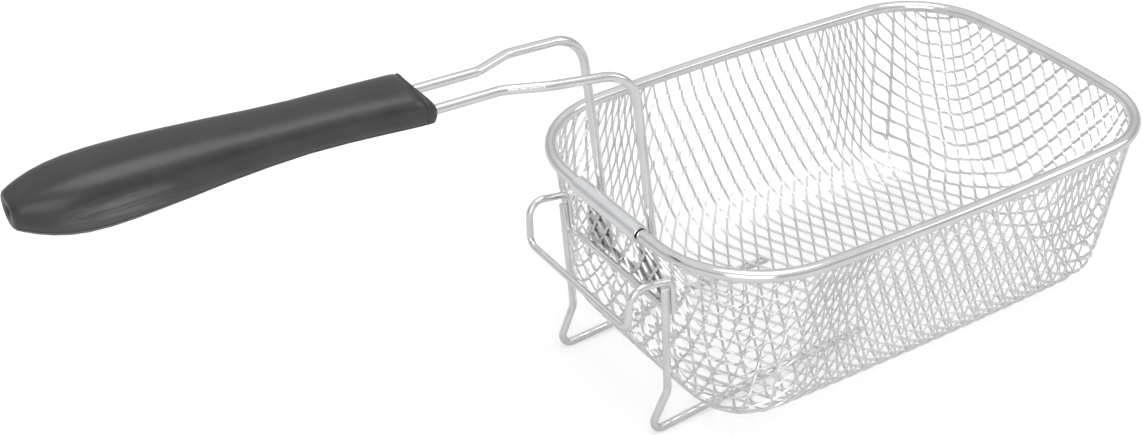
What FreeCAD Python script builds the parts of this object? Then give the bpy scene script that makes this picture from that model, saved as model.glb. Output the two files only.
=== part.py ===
import FreeCAD, Part
import math
import os

# Deep fryer basket with a hand grip, in millimetres.
# The basket is drawn around the middle of its rim, then moved so that the
# origin lies under the middle of the whole object, on the level of the feet.
# +X runs from the grip to the far end of the basket and +Z is up.

# Rim
RIM_FRONT = -110.7
RIM_BACK = 110.7
RIM_HALF_WIDTH = 75.0
RIM_WIRE = 4.9
RIM_FRONT_CORNER = 43.0
RIM_BACK_CORNER = 38.0
RIM_FRONT_BOW = 770.0
RIM_BACK_BOW = 470.0
RIM_SIDE_BOW = 1330.0

# Pressed mesh sheet
SHEET = 1.0
DEPTH = 75.9
SHOULDER_DEPTH = 13.0
SHOULDER_INSET = 5.1
SHOULDER_CORNER = 34.0
UPPER_DEPTH = 31.0
UPPER_INSET = 7.4
UPPER_CORNER = 31.0
FRONT_INSET = 11.0
BACK_INSET = 10.0
SIDE_INSET = 13.0
FLOOR_FRONT_CORNER = 25.0
FLOOR_BACK_CORNER = 24.0
FLOOR_END_BOW = 1400.0
FLOOR_SIDE_BOW = 2600.0
FLOOR_ROUND = 18.0
EDGE_GAP = 0.1

# Openings of the mesh
CELLS_ROUND = 36
CELL_LONG = 27.0
STRAND = 3.0
EDGE_BAND = 2.0
CUT_REACH = 6.0

# Handle wire
ROD_WIRE = 3.5
ROD_LEVEL = 68.4
ROD_GRIP_HALF = 8.1
ROD_ARCH_HALF = 14.2
ROD_FOOT_HALF = 16.5
ROD_SPLAY_START = 47.0
ROD_SPLAY_END = 32.0
ARCH_DROP = 3.4
ARCH_BEND = 15.0
SPLAY_BEND = 12.0
ROD_END_DEPTH = 31.0
ROD_END_REACH = 12.8
ROD_END_BEND = 3.3
ROD_IN_GRIP = 38.0
ROD_RISE_IN_GRIP = 2.4
ROD_MOUTH_BEND = 60.0

# Grip
GRIP_START = 72.6
GRIP_LENGTH = 138.6
GRIP_FIT = 0.15
# share of the length from the front end, half width, half height, rise of the axis
GRIP_STATIONS = (
    (0.000, 12.0, 8.0, 0.0),
    (0.130, 11.6, 7.9, 1.3),
    (0.320, 11.0, 7.8, 2.7),
    (0.520, 12.2, 9.3, 3.4),
    (0.690, 13.4, 11.0, 3.4),
    (0.800, 13.6, 11.5, 3.3),
    (0.890, 12.4, 10.5, 3.6),
    (0.955, 9.6, 8.0, 4.2),
    (1.000, 5.4, 4.0, 4.8),
)
GRIP_AXIS = 70.2
GRIP_SQUARENESS = 2.35

# Bracket that holds the handle on the rim
PLATE = 0.75
PLATE_HALF_WIDTH = 25.0
SLEEVE_HALF_WIDTH = 21.0
SLEEVE_GAP = 0.4
SLEEVE_TURN = 250.0
SLEEVE_SKIRT = 1.5
PLATE_GAP = 0.1
EYE_GAP = 0.2
EYE_INNER = 19.7
EYE_TURN = 275.0
WINDOW_HALF_WIDTH = 9.5
WINDOW_TOP = 9.5
WINDOW_FOOT = 25.0
WINDOW_CORNER = 3.0
TAB_SLOT_HALF = 4.2
TAB_SLOT_HEIGHT = 1.8
HEM = 2.0

# Hook loop in front
HOOK_WIRE = 2.8
HOOK_REAR_DEPTH = 29.6
HOOK_FRONT_DEPTH = 28.5
HOOK_TOP_REAR = 13.0
HOOK_TOP_FRONT = 10.4
HOOK_HALF_REAR = 35.3
HOOK_HALF_TOP = 35.5
HOOK_HALF_FRONT = 34.1
HOOK_REACH = 19.8
HOOK_SMALL_BEND = 4.0
HOOK_FRONT_BEND = 6.0
WELD_GAP = 0.05

# Leg wires
LEG_WIRE = 3.1
LEG_TOP_HALF = 35.0
LEG_KNEE_HALF = 33.5
LEG_FOOT_HALF = 32.9
LEG_END_HALF = 31.0
LEG_END_SPLAY = 0.9
LEG_KNEE_RISE = 11.4
LEG_KNEE_BACK = 2.6
LEG_FOOT_FORWARD = 8.4
LEG_FOOT_DROP = 6.6
LEG_JOIN_X = -48.0
LEG_END_X = -10.5
LEG_KNEE_BEND = 8.0
LEG_FOOT_BEND = 4.2
LEG_JOIN_BEND = 40.0


def vec(x, y, z=0.0):
    return FreeCAD.Vector(x, y, z)


def share(depth):
    """Depth as a share of the way from the rim to the floor."""
    return depth / DEPTH


def stepped(depth, rim, shoulder, upper, floor):
    """Value at a depth, with straight runs between four levels."""
    steps = ((0.0, rim), (SHOULDER_DEPTH, shoulder), (UPPER_DEPTH, upper), (DEPTH, floor))
    for (above, start), (below, stop) in zip(steps, steps[1:]):
        if depth <= below:
            break
    return start + (stop - start) * (depth - above) / (below - above)


def front_inset(depth):
    """How far the front wall stands in from the rim at a depth."""
    return stepped(depth, 0.0, SHOULDER_INSET, UPPER_INSET, FRONT_INSET)


def blend(top, foot, depth):
    return top + (foot - top) * share(depth)


def front_wall(depth, y):
    """X of the middle of the front wall's sheet at a depth, y off the middle."""
    bow = blend(RIM_FRONT_BOW, FLOOR_END_BOW, depth)
    return RIM_FRONT + front_inset(depth) + y * y / (2.0 * bow)


def corner(end_x, end_bow, half_width, side_bow, middle_x, radius):
    """Ends and middle of the arc that joins a bowed end to a bowed side."""
    toward = 1.0 if end_x > middle_x else -1.0
    side_centre = vec(middle_x, half_width - side_bow)
    end_centre = vec(end_x - toward * end_bow, 0.0)
    from_side = side_bow - radius
    from_end = end_bow - radius
    span = end_centre - side_centre
    apart = span.Length
    along = (from_side ** 2 - from_end ** 2 + apart ** 2) / (2.0 * apart)
    across = math.sqrt(max(from_side ** 2 - along ** 2, 0.0))
    unit = span / apart
    turned = vec(-unit.y, unit.x)
    first = side_centre + unit * along + turned * across
    second = side_centre + unit * along - turned * across
    centre = first if first.y + toward * first.x > second.y + toward * second.x else second
    on_side = centre + (centre - side_centre).normalize() * radius
    on_end = centre + (centre - end_centre).normalize() * radius
    middle = centre + ((on_side + on_end) / 2.0 - centre).normalize() * radius
    return on_side, middle, on_end


def outline(front, back, half_width, front_corner, back_corner, bows, z):
    """Closed wire of eight arcs: two bowed ends, two bowed sides, four corners."""
    front_bow, back_bow, side_bow = bows
    middle = (front + back) / 2.0
    b_side, b_mid, b_end = corner(back, back_bow, half_width, side_bow, middle, back_corner)
    f_side, f_mid, f_end = corner(front, front_bow, half_width, side_bow, middle, front_corner)

    def at(p, flip=1.0):
        return vec(p.x, p.y * flip, z)

    runs = (
        (at(b_end, -1), vec(back, 0, z), at(b_end)),
        (at(b_end), at(b_mid), at(b_side)),
        (at(b_side), vec(middle, half_width, z), at(f_side)),
        (at(f_side), at(f_mid), at(f_end)),
        (at(f_end), vec(front, 0, z), at(f_end, -1)),
        (at(f_end, -1), at(f_mid, -1), at(f_side, -1)),
        (at(f_side, -1), vec(middle, -half_width, z), at(b_side, -1)),
        (at(b_side, -1), at(b_mid, -1), at(b_end, -1)),
    )
    return Part.Wire([Part.Arc(*run).toShape() for run in runs])


def section(depth, inward=0.0):
    """Outline of the basket at a depth, moved inwards from the sheet's middle."""
    bows = (
        blend(RIM_FRONT_BOW, FLOOR_END_BOW, depth) - inward,
        blend(RIM_BACK_BOW, FLOOR_END_BOW, depth) - inward,
        blend(RIM_SIDE_BOW, FLOOR_SIDE_BOW, depth) - inward,
    )
    return outline(
        RIM_FRONT + front_inset(depth) + inward,
        RIM_BACK - BACK_INSET * share(depth) - inward,
        RIM_HALF_WIDTH - SIDE_INSET * share(depth) - inward,
        stepped(depth, RIM_FRONT_CORNER, SHOULDER_CORNER, UPPER_CORNER, FLOOR_FRONT_CORNER) - inward,
        blend(RIM_BACK_CORNER, FLOOR_BACK_CORNER, depth) - inward,
        bows,
        -depth,
    )


def bent_path(points, bends, closed=False):
    """Path of straight runs joined by tangent arcs."""
    edges = []
    start = points[0]
    for before, here, after, bend in zip(points, points[1:], points[2:], bends):
        back = (before - here).normalize()
        on = (after - here).normalize()
        half = back.getAngle(on) / 2.0
        reach = bend / math.tan(half)
        first = here + back * reach
        last = here + on * reach
        bisector = (back + on).normalize()
        middle = here + bisector * (bend / math.sin(half) - bend)
        edges.append(Part.makeLine(start, first))
        edges.append(Part.Arc(first, middle, last).toShape())
        start = last
    edges.append(Part.makeLine(start, points[-1]))
    return Part.Wire(edges)


def bent_wire(points, bends, diameter):
    """Round wire along a path of straight runs and tangent arcs."""
    path = bent_path(points, bends)
    along = points[1] - points[0]
    ring = Part.Wire([Part.makeCircle(diameter / 2.0, points[0], along)])
    return path.makePipeShell([ring], True, True)


def mirrored(points):
    return [vec(p.x, -p.y, p.z) for p in reversed(points)]


def rim():
    """Closed rim wire, each arc of its outline turned about its own centre."""
    path = outline(
        RIM_FRONT,
        RIM_BACK,
        RIM_HALF_WIDTH,
        RIM_FRONT_CORNER,
        RIM_BACK_CORNER,
        (RIM_FRONT_BOW, RIM_BACK_BOW, RIM_SIDE_BOW),
        0.0,
    )
    pieces = []
    for edge in path.Edges:
        start = edge.valueAt(edge.FirstParameter)
        heading = edge.tangentAt(edge.FirstParameter)
        disc = Part.Face(Part.Wire([Part.makeCircle(RIM_WIRE / 2.0, start, heading)]))
        turn = math.degrees(edge.LastParameter - edge.FirstParameter)
        pieces.append(disc.revolve(edge.Curve.Center, edge.Curve.Axis, turn))
    return pieces[0].multiFuse(pieces[1:]).removeSplitter()


def tub(inward, top):
    """Solid basket form with its floor edge rounded."""
    floor = DEPTH - inward
    levels = (top, SHOULDER_DEPTH, UPPER_DEPTH, floor)
    solid = Part.makeLoft([section(depth, inward) for depth in levels], True, True)
    floor_edges = [e for e in solid.Edges if e.BoundBox.ZMax < -floor + 0.01]
    return solid.makeFillet(FLOOR_ROUND - inward, floor_edges)


def diamond(width, height):
    """Corners of one opening between strands, for a cell of this size."""
    side = math.hypot(width, height) / 2.0
    between = width * height / 2.0 / side
    scale = 1.0 - STRAND / between
    half = width * scale / 2.0
    tall = height * scale / 2.0
    return ((half, 0.0), (0.0, tall), (-half, 0.0), (0.0, -tall))


def punch(centre, across, along, through, width, height):
    """Prism that cuts one opening, from just inside the sheet to just outside."""
    ring = [
        centre + across * u + along * v - through * CUT_REACH for u, v in diamond(width, height)
    ]
    face = Part.Face(Part.makePolygon(ring + ring[:1]))
    return face.extrude(through * (2.0 * CUT_REACH))


def spots_round(path, shift):
    """Evenly spaced points and outward directions round a closed outline."""
    step = path.Length / CELLS_ROUND
    spots = []
    passed = 0.0
    number = 0
    for edge in path.Edges:
        while (number + shift) * step < passed + edge.Length and number < CELLS_ROUND:
            at = edge.getParameterByLength((number + shift) * step - passed)
            heading = edge.tangentAt(at)
            spots.append((edge.valueAt(at), vec(heading.y, -heading.x)))
            number += 1
        passed += edge.Length
    return spots


def wall_openings():
    """Staggered rows of openings round the walls and the rounded floor edge."""
    top = RIM_WIRE / 2.0 + EDGE_BAND + CELL_LONG / 2.0 - STRAND
    low = DEPTH - FLOOR_ROUND
    foot = low + FLOOR_ROUND * math.pi / 4.0
    rows = max(round((foot - top) / (CELL_LONG / 2.0)), 1)
    down = vec(0, 0, -1)
    turned = FLOOR_ROUND * (1.0 - math.sqrt(0.5))
    tools = []
    for row in range(rows + 1):
        depth = top + (foot - top) * row / rows
        last = row == rows
        path = section(DEPTH - turned, turned) if last else section(depth)
        width = path.Length / CELLS_ROUND
        height = 2.0 * (foot - top) / rows
        for centre, out in spots_round(path, (row % 2) / 2.0):
            across = vec(-out.y, out.x)
            through = (out + down).normalize() if last else out
            tools.append(punch(centre, across, across.cross(through), through, width, height))
    return tools


def floor_openings():
    """Staggered field of openings in the flat of the floor."""
    half_x = RIM_BACK - BACK_INSET - FLOOR_ROUND
    half_y = RIM_HALF_WIDTH - SIDE_INSET - FLOOR_ROUND
    columns = round(2.0 * half_x / (section(DEPTH, FLOOR_ROUND).Length / CELLS_ROUND))
    width = 2.0 * half_x / columns
    half_rows = round(half_y / (CELL_LONG / 2.0))
    height = 2.0 * half_y / (half_rows + 1)
    tools = []
    for row in range(-half_rows, half_rows + 1):
        count = columns - row % 2
        for column in range(count):
            x = (column - (count - 1) / 2.0) * width
            centre = vec(x, row * height / 2.0, -DEPTH)
            tools.append(punch(centre, vec(1, 0), vec(0, 1), vec(0, 0, 1), width, height))
    return tools


def mesh_basket():
    """Thin drawn sheet, open at the top, with staggered diamond openings."""
    top = RIM_WIRE / 2.0 + EDGE_GAP
    shell = tub(-SHEET / 2.0, top).cut(tub(SHEET / 2.0, top - 1.0))
    sheet = shell.cut(wall_openings() + floor_openings())
    return max(sheet.Solids, key=lambda solid: solid.Volume)


def plate_back(depth):
    """X of the face of the bracket's plate that lies toward the front wall."""
    bow = blend(RIM_FRONT_BOW, FLOOR_END_BOW, depth)
    side = PLATE_HALF_WIDTH ** 2 / (2.0 * bow)
    return front_wall(depth, 0.0) + SHEET / 2.0 + side + PLATE_GAP


def eye_centre():
    """Middle of the curled eyes, where the handle's ends sit."""
    inner = ROD_WIRE / 2.0 + EYE_GAP
    return vec(plate_back(ROD_END_DEPTH) + PLATE + inner, 0.0, -ROD_END_DEPTH)


def ring_sector(centre, inner, outer, start, turn, low, high):
    """Part of a tube along Y, from a start angle through a turn about -Y."""

    def at(radius, angle):
        a = math.radians(angle)
        return vec(centre.x + radius * math.cos(a), low, centre.z + radius * math.sin(a))

    half = start + turn / 2.0
    stop = start + turn
    edges = [
        Part.Arc(at(outer, start), at(outer, half), at(outer, stop)).toShape(),
        Part.makeLine(at(outer, stop), at(inner, stop)),
        Part.Arc(at(inner, stop), at(inner, half), at(inner, start)).toShape(),
        Part.makeLine(at(inner, start), at(outer, start)),
    ]
    return Part.Face(Part.Wire(edges)).extrude(vec(0, high - low))


def handle_bracket():
    """Plate rolled over the rim, with a window and two curled eyes at its foot."""
    sag = SLEEVE_HALF_WIDTH ** 2 / (2.0 * RIM_FRONT_BOW)
    centre = vec(RIM_FRONT + sag / 2.0, 0.0, 0.0)
    inner = RIM_WIRE / 2.0 + SLEEVE_GAP
    outer = inner + PLATE
    sleeve = ring_sector(
        centre, inner, outer, 0.0, SLEEVE_TURN, -SLEEVE_HALF_WIDTH, SLEEVE_HALF_WIDTH
    )
    drop = RIM_WIRE / 2.0 + SLEEVE_SKIRT
    foot = plate_back(ROD_END_DEPTH)
    profile = [
        vec(centre.x + inner, -PLATE_HALF_WIDTH, 0.0),
        vec(centre.x + outer, -PLATE_HALF_WIDTH, 0.0),
        vec(plate_back(SHOULDER_DEPTH) + PLATE, -PLATE_HALF_WIDTH, -SHOULDER_DEPTH),
        vec(foot + PLATE, -PLATE_HALF_WIDTH, -ROD_END_DEPTH),
        vec(foot, -PLATE_HALF_WIDTH, -ROD_END_DEPTH),
        vec(plate_back(SHOULDER_DEPTH), -PLATE_HALF_WIDTH, -SHOULDER_DEPTH),
    ]
    face = Part.Face(Part.makePolygon(profile + profile[:1]))
    plate = face.extrude(vec(0, 2.0 * PLATE_HALF_WIDTH))
    room = foot + 2.0 * PLATE - RIM_FRONT
    step = PLATE_HALF_WIDTH - SLEEVE_HALF_WIDTH
    cuts = []
    for low in (-PLATE_HALF_WIDTH, SLEEVE_HALF_WIDTH):
        cuts.append(Part.makeBox(room, step, drop + PLATE, vec(RIM_FRONT, low, -drop)))
    window = Part.makeBox(
        room,
        2.0 * WINDOW_HALF_WIDTH,
        WINDOW_FOOT - WINDOW_TOP,
        vec(RIM_FRONT, -WINDOW_HALF_WIDTH, -WINDOW_FOOT),
    )
    upright = [e for e in window.Edges if abs(e.tangentAt(0).x) > 0.9]
    cuts.append(window.makeFillet(WINDOW_CORNER, upright))
    slot = Part.makeBox(
        room,
        2.0 * TAB_SLOT_HALF,
        TAB_SLOT_HEIGHT,
        vec(centre.x, -TAB_SLOT_HALF, -drop - TAB_SLOT_HEIGHT / 2.0),
    )
    cuts.append(slot)
    low = vec(RIM_FRONT, -EYE_INNER, -ROD_END_DEPTH - HEM)
    cuts.append(Part.makeBox(room, 2.0 * EYE_INNER, 2.0 * HEM, low))
    plate = plate.cut(Part.makeCompound(cuts))
    eye_inner = ROD_WIRE / 2.0 + EYE_GAP
    body = sleeve.fuse(plate)
    for low, high in ((EYE_INNER, PLATE_HALF_WIDTH), (-PLATE_HALF_WIDTH, -EYE_INNER)):
        eye = ring_sector(
            eye_centre(), eye_inner, eye_inner + PLATE, 180.0, EYE_TURN, low, high
        )
        body = body.fuse(eye)
    return body.removeSplitter()


def handle_points():
    """Half of the handle wire's route, from its turned-out end to the grip."""
    foot = eye_centre()
    tip = vec(foot.x, ROD_FOOT_HALF + ROD_END_REACH, foot.z)
    low = vec(foot.x, ROD_FOOT_HALF, foot.z)
    arch = vec(RIM_FRONT + 0.2, ROD_FOOT_HALF + 0.8, ROD_LEVEL - ARCH_DROP)
    spread = vec(RIM_FRONT - ROD_SPLAY_END, ROD_ARCH_HALF, ROD_LEVEL - 0.3)
    narrow = vec(RIM_FRONT - ROD_SPLAY_START, ROD_GRIP_HALF, ROD_LEVEL)
    mouth = vec(RIM_FRONT - GRIP_START, ROD_GRIP_HALF, ROD_LEVEL + 0.6)
    inner = vec(mouth.x - ROD_IN_GRIP, ROD_GRIP_HALF, mouth.z + ROD_RISE_IN_GRIP)
    return [tip, low, arch, spread, narrow, mouth, inner]


def handle_wire(extra=0.0):
    """One wire: both ends turned out, two arched rods, a turn inside the grip."""
    side = handle_points()
    route = side + mirrored(side)
    turn = ROD_GRIP_HALF - 0.4
    half = [ROD_END_BEND, ARCH_BEND, SPLAY_BEND, SPLAY_BEND, ROD_MOUTH_BEND, turn]
    return bent_wire(route, half + half[::-1], ROD_WIRE + 2.0 * extra)


def grip_ring(station):
    """One cross-section of the grip, wide on top and drawn in underneath."""
    part, half_width, half_height, rise = station
    x = RIM_FRONT - GRIP_START - part * GRIP_LENGTH
    points = []
    count = 12
    for k in range(count):
        angle = 2.0 * math.pi * k / count
        c = math.cos(angle)
        s = math.sin(angle)
        power = 2.0 / GRIP_SQUARENESS
        y = half_width * math.copysign(abs(c) ** power, c)
        z = half_height * math.copysign(abs(s) ** power, s)
        y *= 1.0 + 0.06 * s
        points.append(vec(x, y, GRIP_AXIS + rise + z))
    curve = Part.BSplineCurve()
    curve.interpolate(points, PeriodicFlag=True)
    return Part.Wire([curve.toShape()])


def grip():
    """Moulded grip on the two rods, waisted in front and full at the palm."""
    body = Part.makeLoft([grip_ring(station) for station in GRIP_STATIONS], True, False)
    return body.cut(handle_wire(GRIP_FIT))


def hook_arm_x(depth, y):
    """Middle of the hook's rear wire where it lies on the front wall."""
    return front_wall(depth, y) - SHEET / 2.0 - WELD_GAP - HOOK_WIRE / 2.0


def front_hook():
    """Closed loop: rear bar on the wall, over the top, and down to a front bar."""
    rear = hook_arm_x(HOOK_REAR_DEPTH, 0.0)
    top_rear = hook_arm_x(HOOK_TOP_REAR + 0.6 * HOOK_SMALL_BEND, HOOK_HALF_TOP)
    reach = rear - HOOK_REACH - WELD_GAP
    side = [
        vec(rear, HOOK_HALF_REAR, -HOOK_REAR_DEPTH),
        vec(top_rear, HOOK_HALF_TOP, -HOOK_TOP_REAR),
        vec(reach + 0.8, HOOK_HALF_TOP, -HOOK_TOP_FRONT),
        vec(reach, HOOK_HALF_FRONT, -HOOK_FRONT_DEPTH),
    ]
    middle = vec(rear, 0.0, -HOOK_REAR_DEPTH)
    route = [middle] + side + mirrored(side) + [middle]
    half = [HOOK_SMALL_BEND, HOOK_SMALL_BEND, HOOK_FRONT_BEND, HOOK_SMALL_BEND]
    return bent_wire(route, half + half[::-1], HOOK_WIRE)


def leg(side):
    """Wire from under the hook, down past the wall and back under the floor."""
    top = HOOK_TOP_REAR + 0.9 * HOOK_SMALL_BEND
    knee_depth = DEPTH - LEG_KNEE_RISE
    lean = LEG_KNEE_BACK * (HOOK_REAR_DEPTH - top) / (knee_depth - top)
    arm = hook_arm_x(HOOK_TOP_REAR + 0.6 * HOOK_SMALL_BEND, HOOK_HALF_TOP)
    bar = hook_arm_x(HOOK_REAR_DEPTH, 0.0)
    front = min(arm, bar - lean) - (HOOK_WIRE + LEG_WIRE) / 2.0 - WELD_GAP
    knee = front + LEG_KNEE_BACK
    floor = DEPTH + SHEET / 2.0 + WELD_GAP + LEG_WIRE / 2.0
    points = [
        vec(front, side * LEG_TOP_HALF, -top),
        vec(knee, side * LEG_KNEE_HALF, -knee_depth),
        vec(knee - LEG_FOOT_FORWARD, side * LEG_FOOT_HALF, -DEPTH - LEG_FOOT_DROP),
        vec(LEG_JOIN_X, side * (LEG_END_HALF + LEG_END_SPLAY), -floor),
        vec(LEG_END_X, side * LEG_END_HALF, -floor),
    ]
    return bent_wire(points, [LEG_KNEE_BEND, LEG_FOOT_BEND, LEG_JOIN_BEND], LEG_WIRE)


def build():
    nodes = {
        "rim": rim(),
        "mesh_basket": mesh_basket(),
        "handle_bracket": handle_bracket(),
        "handle_wire": handle_wire(),
        "grip": grip(),
        "front_hook": front_hook(),
        "left_leg": leg(1.0),
        "right_leg": leg(-1.0),
    }
    tail = RIM_FRONT - GRIP_START - GRIP_LENGTH
    far = RIM_BACK + RIM_WIRE / 2.0
    foot = nodes["left_leg"].optimalBoundingBox(False, False).ZMin
    home = vec(-(tail + far) / 2.0, 0.0, -foot)
    os.makedirs("parts", exist_ok=True)
    for name, shape in nodes.items():
        placed = shape.copy()
        placed.translate(home)
        placed.exportStep("parts/" + name + ".step")


build()
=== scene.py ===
"""Looks of the deep fryer basket: fine pressed mesh, plated wires, black grip, pale studio."""

import math

import bmesh
import bpy
from mathutils import Matrix, Vector


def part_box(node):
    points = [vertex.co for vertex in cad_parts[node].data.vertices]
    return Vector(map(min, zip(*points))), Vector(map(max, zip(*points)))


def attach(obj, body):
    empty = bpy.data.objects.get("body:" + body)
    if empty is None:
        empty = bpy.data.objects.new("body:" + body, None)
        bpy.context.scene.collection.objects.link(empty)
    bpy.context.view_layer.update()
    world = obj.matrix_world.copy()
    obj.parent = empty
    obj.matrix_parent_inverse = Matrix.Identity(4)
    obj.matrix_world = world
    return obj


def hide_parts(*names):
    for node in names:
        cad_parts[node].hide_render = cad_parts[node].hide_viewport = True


bl_info = {
    "name": "Fryer Basket Looks",
    "version": (1, 0, 0),
    "blender": (4, 5, 0),
    "location": "View3D > Sidebar > Basket",
    "description": "Builds the mesh, wires, grip and studio of a deep fryer basket",
    "category": "Object",
}

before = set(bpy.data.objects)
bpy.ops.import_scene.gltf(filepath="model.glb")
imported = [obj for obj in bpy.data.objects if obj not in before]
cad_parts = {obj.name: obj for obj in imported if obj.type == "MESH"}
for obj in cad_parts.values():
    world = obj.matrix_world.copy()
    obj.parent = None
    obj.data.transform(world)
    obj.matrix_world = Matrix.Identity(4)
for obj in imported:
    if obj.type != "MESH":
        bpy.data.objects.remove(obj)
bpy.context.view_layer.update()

MM = 0.001
RIM_LOW, RIM_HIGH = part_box("rim")
HOME = (RIM_LOW + RIM_HIGH) / 2.0

# Sizes of the basket in millimetres, measured from the middle of the rim wire
RIM_FRONT = -110.7
RIM_BACK = 110.7
RIM_HALF_WIDTH = 75.0
RIM_BACK_CORNER = 38.0
RIM_FRONT_BOW = 770.0
RIM_BACK_BOW = 470.0
RIM_SIDE_BOW = 1330.0
DEPTH = 75.9
BACK_INSET = 10.0
SIDE_INSET = 13.0
FLOOR_BACK_CORNER = 24.0
FLOOR_END_BOW = 1400.0
FLOOR_SIDE_BOW = 2600.0
FOOT_ROUND = 18.0
DRAFT = math.radians(8.6)

# Steps of (depth, value) down the front of the basket
FRONT_INSET = ((0.0, 0.0), (13.0, 5.1), (31.0, 7.4), (DEPTH, 11.0))
FRONT_CORNER = ((0.0, 43.0), (13.0, 34.0), (31.0, 31.0), (DEPTH, 25.0))

# Points of a ring along each end, corner and side
FORM_COUNTS = (26, 22, 40)
RIM_COUNTS = (24, 28, 40)


def place(x, y, z):
    """Point of the basket's own sketch, in millimetres from the middle of its rim."""
    return HOME + Vector((x, y, z)) * MM


# Outlines of the basket


def corner_arc(end_x, end_bow, half_width, side_bow, middle_x, radius):
    """Ends and middle of the arc between a bowed end and a bowed side."""
    toward = 1.0 if end_x > middle_x else -1.0
    side_centre = Vector((middle_x, half_width - side_bow))
    end_centre = Vector((end_x - toward * end_bow, 0.0))
    from_side = side_bow - radius
    from_end = end_bow - radius
    span = end_centre - side_centre
    apart = span.length
    along = (from_side**2 - from_end**2 + apart**2) / (2.0 * apart)
    across = math.sqrt(max(from_side**2 - along**2, 0.0))
    unit = span / apart
    turned = Vector((-unit.y, unit.x))
    choices = (
        side_centre + unit * along + turned * across,
        side_centre + unit * along - turned * across,
    )
    centre = max(choices, key=lambda p: p.y + toward * p.x)
    on_side = centre + (centre - side_centre).normalized() * radius
    on_end = centre + (centre - end_centre).normalized() * radius
    return side_centre, end_centre, centre, on_side, on_end


def arc_points(centre, start, stop, count):
    """Points along an arc, without its last one."""
    first = math.atan2(start.y - centre.y, start.x - centre.x)
    last = math.atan2(stop.y - centre.y, stop.x - centre.x)
    turn = (last - first + math.pi) % (2.0 * math.pi) - math.pi
    radius = (start - centre).length
    angles = [first + turn * k / count for k in range(count)]
    return [centre + Vector((math.cos(a), math.sin(a))) * radius for a in angles]


def ring_points(front, back, half_width, corners, bows, counts):
    """Closed ring of points: back end, corner, long side, corner, front end and their mirror."""
    middle = (front + back) / 2.0
    front_bow, back_bow, side_bow = bows
    near, far = corners
    end_count, corner_count, side_count = counts
    side_c, back_c, far_c, far_side, far_end = corner_arc(
        back, back_bow, half_width, side_bow, middle, far
    )
    _, front_c, near_c, near_side, near_end = corner_arc(
        front, front_bow, half_width, side_bow, middle, near
    )

    def flip(p):
        return Vector((p.x, -p.y))

    points = arc_points(back_c, flip(far_end), far_end, end_count)
    points += arc_points(far_c, far_end, far_side, corner_count)
    points += arc_points(side_c, far_side, near_side, side_count)
    points += arc_points(near_c, near_side, near_end, corner_count)
    points += arc_points(front_c, near_end, flip(near_end), end_count)
    points += arc_points(flip(near_c), flip(near_end), flip(near_side), corner_count)
    points += arc_points(flip(side_c), flip(near_side), flip(far_side), side_count)
    points += arc_points(flip(far_c), flip(far_side), flip(far_end), corner_count)
    return points


def graded(value, steps):
    """Value read off a short table of steps, with straight runs between them."""
    for (low, start), (high, stop) in zip(steps, steps[1:]):
        if value <= high:
            break
    return start + (stop - start) * (value - low) / (high - low)


def front_wall(depth, y):
    """X of the middle of the front wall's sheet at a depth, y off the middle."""
    bow = RIM_FRONT_BOW + (FLOOR_END_BOW - RIM_FRONT_BOW) * depth / DEPTH
    return RIM_FRONT + graded(depth, FRONT_INSET) + y * y / (2.0 * bow)


def basket_ring(depth, inward, counts):
    """Ring of the sheet at a depth, moved inwards, in millimetres."""
    part = depth / DEPTH

    def mix(top, foot):
        return top + (foot - top) * part

    return ring_points(
        RIM_FRONT + graded(depth, FRONT_INSET) + inward,
        RIM_BACK - BACK_INSET * part - inward,
        RIM_HALF_WIDTH - SIDE_INSET * part - inward,
        (graded(depth, FRONT_CORNER) - inward, mix(RIM_BACK_CORNER, FLOOR_BACK_CORNER) - inward),
        (
            mix(RIM_FRONT_BOW, FLOOR_END_BOW) - inward,
            mix(RIM_BACK_BOW, FLOOR_END_BOW) - inward,
            mix(RIM_SIDE_BOW, FLOOR_SIDE_BOW) - inward,
        ),
        counts,
    )


# Node trees


class Tree:
    """Small helper to write a node tree from left to right."""

    def __init__(self, name, inputs):
        self.tree = bpy.data.node_groups.new(name, "GeometryNodeTree")
        face = self.tree.interface
        face.new_socket("Geometry", in_out="INPUT", socket_type="NodeSocketGeometry")
        self.names = {}
        for label, kind, value, low, high in inputs:
            socket = face.new_socket(label, in_out="INPUT", socket_type=kind)
            if value is not None:
                socket.default_value = value
            if low is not None:
                socket.min_value = low
                socket.max_value = high
            self.names[label] = socket.identifier
        face.new_socket("Geometry", in_out="OUTPUT", socket_type="NodeSocketGeometry")
        self.start = self.add("NodeGroupInput")
        self.end = self.add("NodeGroupOutput")

    def add(self, kind, **settings):
        node = self.tree.nodes.new(kind)
        for key, value in settings.items():
            setattr(node, key, value)
        number = len(self.tree.nodes)
        node.location = (180.0 * (number % 12), -220.0 * (number // 12))
        return node

    def link(self, source, target):
        self.tree.links.new(source, target)
        return target.node

    def math(self, operation, first, second=None, third=None):
        node = self.add("ShaderNodeMath", operation=operation)
        for socket, value in zip(node.inputs, (first, second, third)):
            if value is None:
                continue
            if isinstance(value, (int, float)):
                socket.default_value = value
            else:
                self.link(value, socket)
        return node.outputs[0]


def apply_tree(obj, tree, values):
    """Runs a node tree on an object once and keeps the result as a plain mesh."""
    modifier = obj.modifiers.new("build", "NODES")
    modifier.node_group = tree.tree
    for label, value in values.items():
        modifier[tree.names[label]] = value
    bpy.context.view_layer.update()
    graph = bpy.context.evaluated_depsgraph_get()
    mesh = bpy.data.meshes.new_from_object(obj.evaluated_get(graph))
    obj.modifiers.remove(modifier)
    return mesh


def keep(name, mesh, material, node):
    """Links a finished mesh as a piece that stands for a node."""
    mesh.name = name
    mesh.materials.clear()
    mesh.materials.append(material)
    piece = bpy.data.objects.new(name, mesh)
    bpy.context.scene.collection.objects.link(piece)
    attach(piece, "root")
    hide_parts(node)
    return piece


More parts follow.
